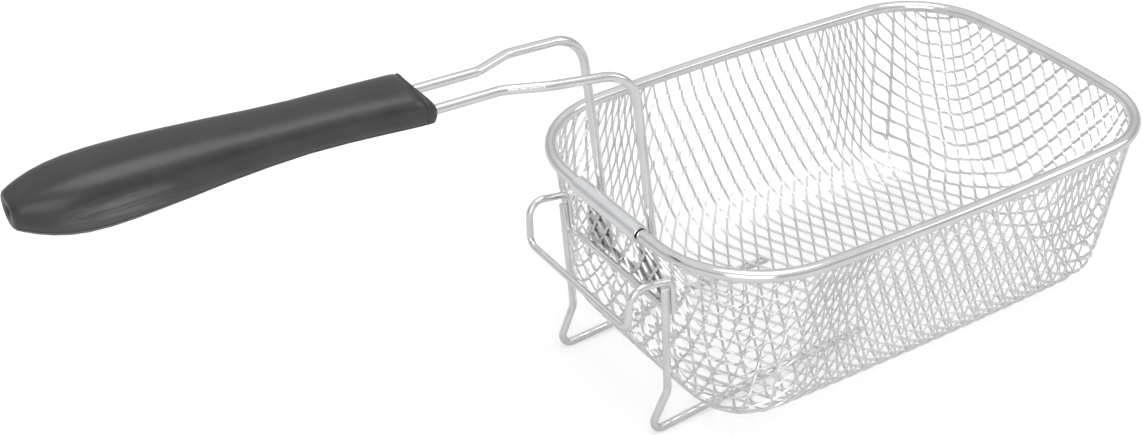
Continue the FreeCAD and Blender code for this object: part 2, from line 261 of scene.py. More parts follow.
def drop(obj):
    """Removes a construction object together with its data."""
    data = obj.data
    bpy.data.objects.remove(obj)
    if isinstance(data, bpy.types.Mesh):
        bpy.data.meshes.remove(data)
    else:
        bpy.data.curves.remove(data)


def sweep_tree():
    """Round wire swept along a route whose corners are bent to their own radius."""
    tree = Tree(
        "Bent wire",
        (
            ("Diameter", "NodeSocketFloat", 0.003, 0.0005, 0.02),
            ("Sides", "NodeSocketInt", 24, 6, 64),
            ("Bend steps", "NodeSocketInt", 12, 2, 40),
            ("Material", "NodeSocketMaterial", None, None, None),
        ),
    )
    bend = tree.add("GeometryNodeInputRadius")
    fillet = tree.add("GeometryNodeFilletCurve", mode="POLY")
    tree.link(tree.start.outputs["Geometry"], fillet.inputs["Curve"])
    tree.link(bend.outputs["Radius"], fillet.inputs["Radius"])
    tree.link(tree.start.outputs["Bend steps"], fillet.inputs["Count"])
    fillet.inputs["Limit Radius"].default_value = True
    ring = tree.add("GeometryNodeCurvePrimitiveCircle", mode="RADIUS")
    half = tree.math("MULTIPLY", tree.start.outputs["Diameter"], 0.5)
    tree.link(half, ring.inputs["Radius"])
    tree.link(tree.start.outputs["Sides"], ring.inputs["Resolution"])
    even = tree.add("GeometryNodeSetCurveRadius")
    tree.link(fillet.outputs["Curve"], even.inputs["Curve"])
    even.inputs["Radius"].default_value = 1.0
    sweep = tree.add("GeometryNodeCurveToMesh")
    tree.link(even.outputs["Curve"], sweep.inputs["Curve"])
    tree.link(ring.outputs["Curve"], sweep.inputs["Profile Curve"])
    sweep.inputs["Fill Caps"].default_value = True
    finish_tree(tree, sweep.outputs["Mesh"])
    return tree


def finish_tree(tree, geometry):
    """Ends a tree with Realize Instances and Set Material."""
    real = tree.add("GeometryNodeRealizeInstances")
    tree.link(geometry, real.inputs["Geometry"])
    paint = tree.add("GeometryNodeSetMaterial")
    tree.link(real.outputs["Geometry"], paint.inputs["Geometry"])
    tree.link(tree.start.outputs["Material"], paint.inputs["Material"])
    tree.link(paint.outputs["Geometry"], tree.end.inputs["Geometry"])


def route_object(name, points, bends, closed):
    """Curve object of straight runs with a bend radius at each corner."""
    curve = bpy.data.curves.new(name, "CURVE")
    curve.dimensions = "3D"
    spline = curve.splines.new("POLY")
    spline.points.add(len(points) - 1)
    spline.use_cyclic_u = closed
    radii = [0.0] * len(points)
    for k, radius in enumerate(bends):
        radii[k if closed else k + 1] = radius * MM
    for knot, point, radius in zip(spline.points, points, radii):
        knot.co = (*point, 1.0)
        knot.radius = radius
    obj = bpy.data.objects.new(name, curve)
    bpy.context.scene.collection.objects.link(obj)
    return obj


def mesh_tree():
    """Zigzag strands of expanded sheet, laid flat and then drawn onto the pressed form."""
    tree = Tree(
        "Expanded sheet",
        (
            ("Cell short", "NodeSocketFloat", 0.0073, 0.002, 0.03),
            ("Cell long", "NodeSocketFloat", 0.013, 0.004, 0.05),
            ("Strand width", "NodeSocketFloat", 0.0009, 0.0002, 0.004),
            ("Strand thickness", "NodeSocketFloat", 0.0006, 0.0002, 0.003),
            ("Strand tilt", "NodeSocketFloat", 0.6, -1.57, 1.57),
            ("Half length", "NodeSocketFloat", 0.2, 0.02, 1.0),
            ("Half width", "NodeSocketFloat", 0.16, 0.02, 1.0),
            ("Material", "NodeSocketMaterial", None, None, None),
        ),
    )
    give = tree.start.outputs
    pitch = tree.math("MULTIPLY", give["Cell short"], 0.5)
    step = tree.math("DIVIDE", give["Cell long"], 8.0)
    ribbons = tree.math("ROUND", tree.math("DIVIDE", give["Half length"], pitch))
    ribbon_count = tree.math("ADD", tree.math("MULTIPLY", ribbons, 2.0), 1.0)
    steps = tree.math("ROUND", tree.math("DIVIDE", give["Half width"], step))
    step_count = tree.math("ADD", tree.math("MULTIPLY", steps, 2.0), 1.0)
    length = tree.math("MULTIPLY", tree.math("MULTIPLY", steps, 2.0), step)

    # One straight ribbon along Y and a row of them along X
    size = tree.add("ShaderNodeCombineXYZ")
    tree.link(give["Strand width"], size.inputs[0])
    tree.link(length, size.inputs[1])
    tree.link(give["Strand thickness"], size.inputs[2])
    ribbon = tree.add("GeometryNodeMeshCube")
    tree.link(size.outputs[0], ribbon.inputs["Size"])
    ribbon.inputs["Vertices X"].default_value = 2
    ribbon.inputs["Vertices Z"].default_value = 2
    tree.link(step_count, ribbon.inputs["Vertices Y"])
    span = tree.math("MULTIPLY", ribbons, pitch)
    low = tree.add("ShaderNodeCombineXYZ")
    tree.link(tree.math("MULTIPLY", span, -1.0), low.inputs[0])
    apart = tree.add("ShaderNodeCombineXYZ")
    tree.link(pitch, apart.inputs[0])
    row = tree.add("GeometryNodeMeshLine", mode="OFFSET")
    tree.link(ribbon_count, row.inputs["Count"])
    tree.link(low.outputs[0], row.inputs["Start Location"])
    tree.link(apart.outputs[0], row.inputs["Offset"])
    spread = tree.add("GeometryNodeInstanceOnPoints")
    tree.link(row.outputs["Mesh"], spread.inputs["Points"])
    tree.link(ribbon.outputs["Mesh"], spread.inputs["Instance"])
    number = tree.add("GeometryNodeInputIndex")
    store = tree.add("GeometryNodeStoreNamedAttribute", data_type="INT", domain="INSTANCE")
    store.inputs["Name"].default_value = "ribbon"
    tree.link(spread.outputs["Instances"], store.inputs["Geometry"])
    tree.link(number.outputs[0], store.inputs["Value"])
    flat = tree.add("GeometryNodeRealizeInstances")
    tree.link(store.outputs["Geometry"], flat.inputs["Geometry"])

    # Zigzag: neighbours meet for one step in eight and part for three
    index = tree.add("GeometryNodeInputNamedAttribute", data_type="INT")
    index.inputs["Name"].default_value = "ribbon"
    place_xyz = tree.add("ShaderNodeSeparateXYZ")
    position = tree.add("GeometryNodeInputPosition")
    tree.link(position.outputs[0], place_xyz.inputs[0])
    x, y, z = place_xyz.outputs[0], place_xyz.outputs[1], place_xyz.outputs[2]
    phase = tree.math("DIVIDE", y, give["Cell long"])
    phase = tree.math("ADD", phase, tree.math("MULTIPLY", index.outputs["Attribute"], 0.5))
    saw = tree.math("ABSOLUTE", tree.math("SUBTRACT", tree.math("FRACT", phase), 0.5))
    wave = tree.math("MULTIPLY", tree.math("SUBTRACT", saw, 0.25), 16.0 / 3.0)
    wave = tree.math("MINIMUM", tree.math("MAXIMUM", wave, -1.0), 1.0)
    reach = tree.math("MULTIPLY", tree.math("SUBTRACT", pitch, give["Strand width"]), 0.5)
    zigzag = tree.math("MULTIPLY", wave, reach)
    middle = tree.math("SUBTRACT", tree.math("MULTIPLY", index.outputs["Attribute"], pitch), span)
    off = tree.math("SUBTRACT", x, middle)
    tilt_cos = tree.math("COSINE", give["Strand tilt"])
    tilt_sin = tree.math("SINE", give["Strand tilt"])
    flat_off = tree.math("MULTIPLY", off, tilt_cos)
    flat_up = tree.math("MULTIPLY", z, tilt_sin)
    new_x = tree.math("SUBTRACT", flat_off, flat_up)
    turned_off = tree.math("MULTIPLY", off, tilt_sin)
    turned_up = tree.math("MULTIPLY", z, tilt_cos)
    new_z = tree.math("ADD", turned_off, turned_up)
    new_x = tree.math("ADD", tree.math("ADD", middle, zigzag), new_x)

    # Drawn onto the form through its flat map
    spot = tree.add("ShaderNodeCombineXYZ")
    tree.link(new_x, spot.inputs[0])
    tree.link(y, spot.inputs[1])
    chart = tree.add("GeometryNodeInputNamedAttribute", data_type="FLOAT_VECTOR")
    chart.inputs["Name"].default_value = "flat"
    where = tree.add("GeometryNodeInputPosition")
    facing = tree.add("GeometryNodeInputNormal")
    on_form = tree.add("GeometryNodeSampleUVSurface", data_type="FLOAT_VECTOR")
    out_form = tree.add("GeometryNodeSampleUVSurface", data_type="FLOAT_VECTOR")
    for sampler, value in ((on_form, where.outputs[0]), (out_form, facing.outputs[0])):
        tree.link(give["Geometry"], sampler.inputs["Mesh"])
        tree.link(value, sampler.inputs["Value"])
        tree.link(chart.outputs["Attribute"], sampler.inputs["Source UV Map"])
        tree.link(spot.outputs[0], sampler.inputs["Sample UV"])
    rise = tree.add("ShaderNodeVectorMath", operation="SCALE")
    tree.link(out_form.outputs["Value"], rise.inputs[0])
    tree.link(new_z, rise.inputs["Scale"])
    total = tree.add("ShaderNodeVectorMath", operation="ADD")
    tree.link(on_form.outputs["Value"], total.inputs[0])
    tree.link(rise.outputs[0], total.inputs[1])
    # The test for being on the sheet is kept before the points move
    mark = tree.add("GeometryNodeStoreNamedAttribute", data_type="BOOLEAN", domain="POINT")
    mark.inputs["Name"].default_value = "on_sheet"
    tree.link(flat.outputs["Geometry"], mark.inputs["Geometry"])
    tree.link(on_form.outputs["Is Valid"], mark.inputs["Value"])
    drawn = tree.add("GeometryNodeSetPosition")
    tree.link(mark.outputs["Geometry"], drawn.inputs["Geometry"])
    tree.link(total.outputs[0], drawn.inputs["Position"])
    kept = tree.add("GeometryNodeInputNamedAttribute", data_type="BOOLEAN")
    kept.inputs["Name"].default_value = "on_sheet"
    outside = tree.add("FunctionNodeBooleanMath", operation="NOT")
    tree.link(kept.outputs["Attribute"], outside.inputs[0])
    trim = tree.add("GeometryNodeDeleteGeometry", domain="POINT")
    tree.link(drawn.outputs["Geometry"], trim.inputs["Geometry"])
    tree.link(outside.outputs[0], trim.inputs["Selection"])
    finish_tree(tree, trim.outputs["Geometry"])
    return tree


# How the blank was drawn: turn of its run off the end, and blank used per length of wall
END_TURN = ((0.0, 0.0), (1.0, 25.0))
END_USE = ((0.0, 0.60), (0.5, 0.65), (0.8, 0.74), (1.0, 0.84))
CORNER_TURN = ((0.0, 25.0), (25.0, 42.0), (65.0, 58.0), (90.0, 64.0))
CORNER_USE = ((0.0, 0.84), (25.0, 1.1), (45.0, 1.22), (70.0, 1.12), (90.0, 1.0))
SIDE_TURN = ((0.0, 90.0), (0.62, 85.5), (0.70, 82.0), (0.80, 75.0), (0.92, 67.0), (1.0, 64.0))
SIDE_USE = ((0.0, 0.90), (0.7, 0.92), (1.0, 1.0))

# Slant of the blank on the far side of the basket, where y is above zero, and half the length
# and width of the blank in metres
LEAN = 0.095
BLANK_HALF_LENGTH = 0.165
BLANK_HALF_WIDTH = 0.14

# Steps round the foot, and depths of the rings above it
FOOT_STEPS = 10
WALL_DEPTHS = (58.0, 54.0, 48.0, 42.0, 36.0, 31.0, 26.0, 20.0, 16.0, 13.0, 10.0, 6.0, 3.0, 1.0)


def blank_runs(counts):
    """Direction of the blank and blank used per length, at each point of a ring."""
    end_count, corner_count, side_count = counts
    runs = []

    def add(turn, use, back, left):
        angle = math.radians(turn)
        runs.append((Vector((math.cos(angle) * back, math.sin(angle) * left)), use))

    def end(back):
        for k in range(end_count):
            along = (2.0 * k / end_count - 1.0) * back
            share, left = abs(along), math.copysign(1.0, along)
            add(graded(share, END_TURN), graded(share, END_USE), back, left)

    def bend(back, left, outward):
        for k in range(corner_count):
            part = k / corner_count
            angle = 90.0 * (part if outward else 1.0 - part)
            add(graded(angle, CORNER_TURN), graded(angle, CORNER_USE), back, left)

    def side(left):
        for k in range(side_count):
            along = (1.0 - 2.0 * k / side_count) * left
            share, back = abs(along), math.copysign(1.0, along)
            add(graded(share, SIDE_TURN), graded(share, SIDE_USE), back, left)

    end(1.0)
    bend(1.0, 1.0, True)
    side(1.0)
    bend(-1.0, 1.0, False)
    end(-1.0)
    bend(-1.0, -1.0, True)
    side(-1.0)
    bend(1.0, -1.0, False)
    return runs


def pressed_form():
    """Guide surface of the pressed sheet with a flat map of the blank it was drawn from."""
    foot = FOOT_ROUND * (1.0 - math.sin(DRAFT)) / math.cos(DRAFT)
    levels = []
    turn = math.pi / 2.0 - DRAFT
    for k in range(FOOT_STEPS + 1):
        angle = turn * k / FOOT_STEPS
        shade_by_height = FOOT_ROUND * (1.0 - math.cos(angle))
        inset = foot + shade_by_height * math.tan(DRAFT) - FOOT_ROUND * math.sin(angle)
        levels.append((DEPTH - shade_by_height, inset, FOOT_ROUND * angle, 0.0))
    above = DEPTH - levels[-1][0]
    run = FOOT_ROUND * turn
    for level in WALL_DEPTHS:
        levels.append((level, 0.0, run, (DEPTH - level - above) / math.cos(DRAFT)))
    form = bmesh.new()
    flat = form.loops.layers.uv.new("flat")
    edge = basket_ring(DEPTH, foot, FORM_COUNTS)
    runs = blank_runs(FORM_COUNTS)
    rings = []
    for level, inset, curved, straight in levels:
        ring = []
        for p, start, (ahead, use) in zip(basket_ring(level, inset, FORM_COUNTS), edge, runs):
            spot = start + ahead * (curved + straight * use)
            spot.x -= LEAN * max(spot.y, 0.0)
            ring.append((form.verts.new(place(p.x, p.y, -level)), spot))
        rings.append(ring)
    hub = (form.verts.new(place(0.0, 0.0, -DEPTH)), Vector((0.0, 0.0)))
    count = len(rings[0])
    charts = {}
    for a in range(count):
        b = (a + 1) % count
        face = form.faces.new((hub[0], rings[0][a][0], rings[0][b][0]))
        charts[face] = (hub[1], rings[0][a][1], rings[0][b][1])
        for low, high in zip(rings, rings[1:]):
            face = form.faces.new((low[a][0], high[a][0], high[b][0], low[b][0]))
            charts[face] = (low[a][1], high[a][1], high[b][1], low[b][1])
    for face, corners in charts.items():
        face.smooth = True
        for loop, spot in zip(face.loops, corners):
            loop[flat].uv = spot * MM
    mesh = bpy.data.meshes.new("pressed_form")
    form.to_mesh(mesh)
    form.free()
    obj = bpy.data.objects.new("pressed_form", mesh)
    bpy.context.scene.collection.objects.link(obj)
    return obj


# Materials


BUMP_DEPTH = 0.0003


def shader(name, metallic, roughness, tone):
    """Principled material with its constant values on the shader's own sockets."""
    material = bpy.data.materials.new(name)
    material.use_nodes = True
    nodes = material.node_tree.nodes
    nodes.clear()
    out = nodes.new("ShaderNodeOutputMaterial")
    main = nodes.new("ShaderNodeBsdfPrincipled")
    material.node_tree.links.new(main.outputs[0], out.inputs[0])
    main.inputs["Metallic"].default_value = metallic
    main.inputs["Roughness"].default_value = roughness
    main.inputs["Base Color"].default_value = (*tone, 1.0)
    return material, main


def grey(level):
    """Neutral colour of one level."""
    return (level, level, level)


def add_variation(material, main, scale, tones, roughness, bump):
    """Slow colour and roughness drift with a fine bump, all on Object coordinates."""
    low, high = tones
    rough_low, rough_high = roughness
    strength, bump_scale = bump
    nodes = material.node_tree.nodes
    links = material.node_tree.links
    coords = nodes.new("ShaderNodeTexCoord")
    noise = nodes.new("ShaderNodeTexNoise")
    noise.inputs["Scale"].default_value = scale
    noise.inputs["Detail"].default_value = 4.0
    links.new(coords.outputs["Object"], noise.inputs["Vector"])
    ramp = nodes.new("ShaderNodeValToRGB")
    ramp.color_ramp.elements[0].position = 0.35
    ramp.color_ramp.elements[1].position = 0.65
    ramp.color_ramp.elements[0].color = (*low, 1.0)
    ramp.color_ramp.elements[1].color = (*high, 1.0)
    links.new(noise.outputs["Fac"], ramp.inputs["Fac"])
    links.new(ramp.outputs["Color"], main.inputs["Base Color"])
    spread = nodes.new("ShaderNodeMapRange")
    spread.inputs["To Min"].default_value = rough_low
    spread.inputs["To Max"].default_value = rough_high
    links.new(noise.outputs["Fac"], spread.inputs["Value"])
    links.new(spread.outputs["Result"], main.inputs["Roughness"])
    grain = nodes.new("ShaderNodeTexNoise")
    grain.inputs["Scale"].default_value = bump_scale
    grain.inputs["Detail"].default_value = 3.0
    links.new(coords.outputs["Object"], grain.inputs["Vector"])
    dent = nodes.new("ShaderNodeBump")
    dent.inputs["Strength"].default_value = strength
    dent.inputs["Distance"].default_value = BUMP_DEPTH
    links.new(grain.outputs["Fac"], dent.inputs["Height"])
    links.new(dent.outputs["Normal"], main.inputs["Normal"])


def plated_wire():
    """Bright plating of the round wires."""
    material, main = shader("plated_wire", 1.0, 0.12, grey(0.86))
    tones = (grey(0.82), grey(0.90))
    add_variation(material, main, 60.0, tones, (0.08, 0.18), (0.10, 900.0))
    return material


def plated_mesh():
    """Plating of the fine mesh, a little duller than the wires."""
    material, main = shader("plated_mesh", 1.0, 0.22, grey(0.89))
    tones = (grey(0.85), grey(0.93))
    add_variation(material, main, 90.0, tones, (0.18, 0.30), (0.15, 1200.0))
    return material


# Heights in metres between which the painted shade on the bracket's plate behind the mesh fades out
# toward the sleeve, and the colour's level at the lower one
PLATE_TOP = 0.074
SLEEVE_FOOT = 0.081
PLATE_SHADE_LEVEL = 0.69


def plated_sheet():
    """Plated sheet, full tone on the sleeve, with painted shade darkening its colour down the plate
    behind the mesh.
    """
    material, main = shader("plated_sheet", 1.0, 0.2, (0.8, 0.8, 0.81))
    tones = ((0.91, 0.92, 0.935), (0.96, 0.97, 0.985))
    add_variation(material, main, 80.0, tones, (0.16, 0.28), (0.1, 900.0))
    nodes = material.node_tree.nodes
    links = material.node_tree.links
    drift = main.inputs["Base Color"].links[0].from_socket
    coords = nodes.new("ShaderNodeTexCoord")
    split = nodes.new("ShaderNodeSeparateXYZ")
    links.new(coords.outputs["Object"], split.inputs[0])
    # Painted shade: the base colour darkens with falling height down the plate behind the mesh
    shade_by_height = nodes.new("ShaderNodeMapRange")
    shade_by_height.inputs["From Min"].default_value = PLATE_TOP
    shade_by_height.inputs["From Max"].default_value = SLEEVE_FOOT
    shade_by_height.inputs["To Min"].default_value = PLATE_SHADE_LEVEL
    shade_by_height.inputs["To Max"].default_value = 1.0
    links.new(split.outputs["Z"], shade_by_height.inputs["Value"])
    painted_plate_shade = nodes.new("ShaderNodeVectorMath")
    painted_plate_shade.operation = "SCALE"
    links.new(drift, painted_plate_shade.inputs[0])
    links.new(shade_by_height.outputs["Result"], painted_plate_shade.inputs["Scale"])
    links.new(painted_plate_shade.outputs[0], main.inputs["Base Color"])
    return material


# Scuffed patch of the grip, its lighter tone partly a painted sheen: middle and reach in metres,
# streaks per metre, and its tone
SCUFF_AND_SHEEN_SPOT = (-0.187, -0.0130, 0.1562)
SCUFF_AND_SHEEN_REACH = (0.022, 0.012, 0.0055)
SCUFF_GRAIN = (60.0, 500.0, 700.0)
SCUFF_AND_SHEEN_TONE = 0.20


def grip_black():
    """Black plastic with a scuffed patch low on the swell of the near side, its lighter tone partly
    a painted sheen.
    """
    material, main = shader("grip_black", 0.0, 0.36, grey(0.03))
    tones = (grey(0.014), grey(0.028))
    add_variation(material, main, 70.0, tones, (0.28, 0.42), (0.12, 1500.0))
    main.inputs["Specular IOR Level"].default_value = 0.85
    nodes = material.node_tree.nodes
    links = material.node_tree.links
    drift = main.inputs["Base Color"].links[0].from_socket
    coords = nodes.new("ShaderNodeTexCoord")
    reach = nodes.new("ShaderNodeVectorMath")
    reach.operation = "SUBTRACT"
    reach.inputs[1].default_value = SCUFF_AND_SHEEN_SPOT
    links.new(coords.outputs["Object"], reach.inputs[0])
    share = nodes.new("ShaderNodeVectorMath")
    share.operation = "DIVIDE"
    share.inputs[1].default_value = SCUFF_AND_SHEEN_REACH
    links.new(reach.outputs[0], share.inputs[0])
    far = nodes.new("ShaderNodeVectorMath")
    far.operation = "LENGTH"
    links.new(share.outputs[0], far.inputs[0])
    fade = nodes.new("ShaderNodeMapRange")
    fade.inputs["From Min"].default_value = 1.0
    fade.inputs["From Max"].default_value = 0.1
    links.new(far.outputs["Value"], fade.inputs["Value"])
    grain = nodes.new("ShaderNodeVectorMath")
    grain.operation = "MULTIPLY"
    grain.inputs[1].default_value = SCUFF_GRAIN
    links.new(coords.outputs["Object"], grain.inputs[0])
    streaks = nodes.new("ShaderNodeTexNoise")
    streaks.inputs["Scale"].default_value = 1.0
    streaks.inputs["Detail"].default_value = 3.0
    links.new(grain.outputs[0], streaks.inputs["Vector"])
    sharp = nodes.new("ShaderNodeMapRange")
    sharp.inputs["From Min"].default_value = 0.38
    sharp.inputs["From Max"].default_value = 0.68
    sharp.inputs["To Min"].default_value = 0.25
    links.new(streaks.outputs["Fac"], sharp.inputs["Value"])
    # Scuff streaks inside a soft patch that lightens the base colour, partly real wear and partly a
    # painted sheen
    scuff_and_sheen = nodes.new("ShaderNodeMath")
    scuff_and_sheen.operation = "MULTIPLY"
    links.new(fade.outputs["Result"], scuff_and_sheen.inputs[0])
    links.new(sharp.outputs["Result"], scuff_and_sheen.inputs[1])
    pale = nodes.new("ShaderNodeMixRGB")
    pale.inputs["Color2"].default_value = (*grey(SCUFF_AND_SHEEN_TONE), 1.0)
    links.new(scuff_and_sheen.outputs[0], pale.inputs["Fac"])
    links.new(drift, pale.inputs["Color1"])
    links.new(pale.outputs["Color"], main.inputs["Base Color"])
    return material


# Settings a user would change


class MeshSettings(bpy.types.PropertyGroup):
    """Sizes of the expanded sheet."""

    cell_short: bpy.props.FloatProperty(
        name="Cell short way",
        description="Cell pitch along the basket",
        default=0.0075,
        unit="LENGTH",
    )
    cell_long: bpy.props.FloatProperty(
        name="Cell long way",
        description="Cell pitch across the basket",
        default=0.0133,
        unit="LENGTH",
    )
    strand_width: bpy.props.FloatProperty(
        name="Strand width", description="Width of one strand", default=0.001, unit="LENGTH"
    )
    strand_thickness: bpy.props.FloatProperty(
        name="Strand thickness", description="Gauge of the sheet", default=0.0007, unit="LENGTH"
    )
    tilt: bpy.props.FloatProperty(
        name="Strand tilt",
        description="Turn of the strands out of the sheet",
        default=0.6,
        subtype="ANGLE",
    )


class WireSettings(bpy.types.PropertyGroup):
    """Sizes of the round wires."""

    rim: bpy.props.FloatProperty(
        name="Rim wire", description="Diameter of the rim wire", default=0.00486, unit="LENGTH"
    )
    rod: bpy.props.FloatProperty(
        name="Handle wire", description="Diameter of the handle wire", default=0.0035, unit="LENGTH"
    )
    leg: bpy.props.FloatProperty(
        name="Leg wire", description="Diameter of the leg wires", default=0.00309, unit="LENGTH"
    )
    hook: bpy.props.FloatProperty(
        name="Hook wire", description="Diameter of the hook loop", default=0.0028, unit="LENGTH"
    )


class StudioSettings(bpy.types.PropertyGroup):
    """Light levels of the studio."""

    key: bpy.props.FloatProperty(
        name="Key light", description="Power of the main soft light", default=6.0, subtype="POWER"
    )
    sky: bpy.props.FloatProperty(
        name="Sky", description="Strength of the even light from all round", default=0.75
    )


# Operators


class BASKET_OT_mesh(bpy.types.Operator):
    """Build the fine expanded mesh of the basket"""

    bl_idname = "basket.mesh"
    bl_label = "Build mesh"

    def execute(self, context):
        sizes = context.scene.basket_mesh
        guide = pressed_form()
        material = plated_mesh()
        mesh = apply_tree(
            guide,
            mesh_tree(),
            {
                "Cell short": sizes.cell_short,
                "Cell long": sizes.cell_long,
                "Strand width": sizes.strand_width,
                "Strand thickness": sizes.strand_thickness,
                "Strand tilt": sizes.tilt,
                "Half length": BLANK_HALF_LENGTH,
                "Half width": BLANK_HALF_WIDTH,
                "Material": material,
            },
        )
        close_ends(mesh)
        drop(guide)
        piece = keep("fine_mesh", mesh, material, "mesh_basket")
        if len(piece.data.polygons) < 1000:
            raise RuntimeError("the expanded sheet came out empty")
        return {"FINISHED"}


def close_ends(mesh):
    """Closes the cut ends of the strands and drops stray bits."""
    work = bmesh.new()
    work.from_mesh(mesh)
    loose = [v for v in work.verts if not v.link_faces]
    bmesh.ops.delete(work, geom=loose, context="VERTS")
    rims = [e for e in work.edges if e.is_boundary]
    bmesh.ops.holes_fill(work, edges=rims, sides=4)
    bmesh.ops.recalc_face_normals(work, faces=work.faces)
    work.to_mesh(mesh)
    work.free()


class BASKET_OT_wires(bpy.types.Operator):
    """Sweep the rim, the handle wire, the hook and the two legs"""

    bl_idname = "basket.wires"
    bl_label = "Build wires"

    def execute(self, context):
        sizes = context.scene.basket_wires
        material = plated_wire()
        tree = sweep_tree()
        for name, node, points, bends, closed, gauge, sides, steps in wire_list(sizes):
            route = route_object(name + "_route", points, bends, closed)
            mesh = apply_tree(
                route,
                tree,
                {"Diameter": gauge, "Sides": sides, "Bend steps": steps, "Material": material},
            )
            drop(route)
            merge_and_smooth(mesh)
            keep(name, mesh, material, node)
        return {"FINISHED"}


def merge_and_smooth(mesh):
    """Welds doubled points, points the faces outwards and shades all but the ends smooth."""
    work = bmesh.new()
    work.from_mesh(mesh)
    bmesh.ops.remove_doubles(work, verts=work.verts, dist=1e-6)
    bmesh.ops.recalc_face_normals(work, faces=work.faces)
    for face in work.faces:
        face.smooth = len(face.verts) <= 4
    work.to_mesh(mesh)
    work.free()


# Wires, in millimetres: bend radii along a leg and along half of the rods and of the hook, and
# how far wires lie from the front wall's sheet or, for the hook's outer bar, from its inner bar
ROD_BENDS = [3.3, 15.0, 12.0, 12.0, 60.0, 7.7]
HOOK_BENDS = [4.0, 4.0, 6.0, 4.0]
LEG_BENDS = [8.0, 4.2, 40.0]
EYE_DEPTH = 31.0
PLATE_HALF_WIDTH = 25.0
EYE_OFFSET = 3.3
HOOK_OFFSET = 1.95
HOOK_TOP_REACH = 19.05
HOOK_REACH = 19.85


def wire_list(sizes):
    """Route, bends and gauge of each wire, in millimetres from the middle of the rim."""
    rim = [place(p.x, p.y, 0.0) for p in basket_ring(0.0, 0.0, RIM_COUNTS)]
    eye_x = front_wall(EYE_DEPTH, PLATE_HALF_WIDTH) + EYE_OFFSET
    half = [
        (eye_x, 29.3, -EYE_DEPTH),
        (eye_x, 16.5, -EYE_DEPTH),
        (-110.5, 17.3, 65.0),
        (-142.7, 14.2, 68.1),
        (-157.7, 8.1, 68.4),
        (-183.3, 8.1, 69.0),
        (-221.3, 8.1, 71.4),
    ]
    rods = half + [(x, -y, z) for x, y, z in reversed(half)]
    bar = front_wall(29.6, 0.0) - HOOK_OFFSET
    arm = front_wall(15.4, 35.5) - HOOK_OFFSET
    hook_half = [
        (bar, 35.3, -29.6),
        (arm, 35.5, -13.0),
        (bar - HOOK_TOP_REACH, 35.5, -10.4),
        (bar - HOOK_REACH, 34.1, -28.5),
    ]
    hook = hook_half + [(x, -y, z) for x, y, z in reversed(hook_half)]
    leg = [
        (arm - 3.0, 35.0, -16.6),
        (arm - 0.4, 33.5, -64.5),
        (arm - 8.8, 32.9, -82.5),
        (-48.0, 31.9, -78.0),
        (-10.5, 31.0, -78.0),
    ]

    def at(points, side=1.0):
        return [place(x, side * y, z) for x, y, z in points]

    rod_bends = ROD_BENDS + ROD_BENDS[::-1]
    hook_bends = HOOK_BENDS + HOOK_BENDS[::-1]
    return (
        ("rim_wire", "rim", rim, [], True, sizes.rim, 32, 2),
        ("handle_rods", "handle_wire", at(rods), rod_bends, False, sizes.rod, 24, 14),
        ("hook_loop", "front_hook", at(hook), hook_bends, True, sizes.hook, 24, 10),
        ("leg_left", "left_leg", at(leg), LEG_BENDS, False, sizes.leg, 24, 12),
        ("leg_right", "right_leg", at(leg, -1.0), LEG_BENDS, False, sizes.leg, 24, 12),
    )


# Grip, in millimetres and degrees
GRIP_START = 72.9
GRIP_LENGTH = 137.6
GRIP_AXIS = 70.2
GRIP_SQUARENESS = 2.35
GRIP_SPREAD = 0.06
GRIP_SIDES = 48
SEAM_TURNS = (212.0, 328.0)
SEAM_HALF = 1.5
SEAM_PROUD = 0.2
HEAD_SLOPE = 4.6
HEAD_POWER = 1.4
HEAD_SHARE = 0.06

# Share of the length, half width, half height and rise of each section, with a groove at the
# head and a dimple at the tail
GRIP_STATIONS = (
    (0.000, 11.4, 7.4, 0.0),
    (0.006, 11.9, 7.9, 0.05),
    (0.017, 11.95, 8.0, 0.15),
    (0.020, 11.5, 7.6, 0.19),
    (0.024, 11.5, 7.6, 0.23),
    (0.027, 11.95, 8.0, 0.27),
    (0.060, 11.9, 8.0, 0.6),
    (0.130, 11.6, 7.9, 1.3),
    (0.220, 11.2, 7.8, 2.1),
    (0.320, 11.0, 7.8, 2.7),
    (0.420, 11.4, 8.4, 3.1),
    (0.520, 12.2, 9.3, 3.4),
    (0.610, 12.9, 10.3, 3.4),
    (0.690, 13.4, 11.0, 3.4),
    (0.750, 13.6, 11.4, 3.3),
    (0.800, 13.6, 11.5, 3.3),
    (0.850, 13.2, 11.2, 3.4),
    (0.890, 12.4, 10.5, 3.6),
    (0.925, 11.2, 9.4, 3.9),
    (0.955, 9.6, 8.1, 4.2),
    (0.980, 7.9, 6.7, 4.5),
    (0.994, 6.8, 5.7, 4.6),
    (0.999, 5.8, 4.9, 4.7),
    (1.000, 5.2, 4.4, 4.7),
    (0.997, 1.9, 1.6, 4.7),
    (0.990, 1.5, 1.3, 4.7),
)


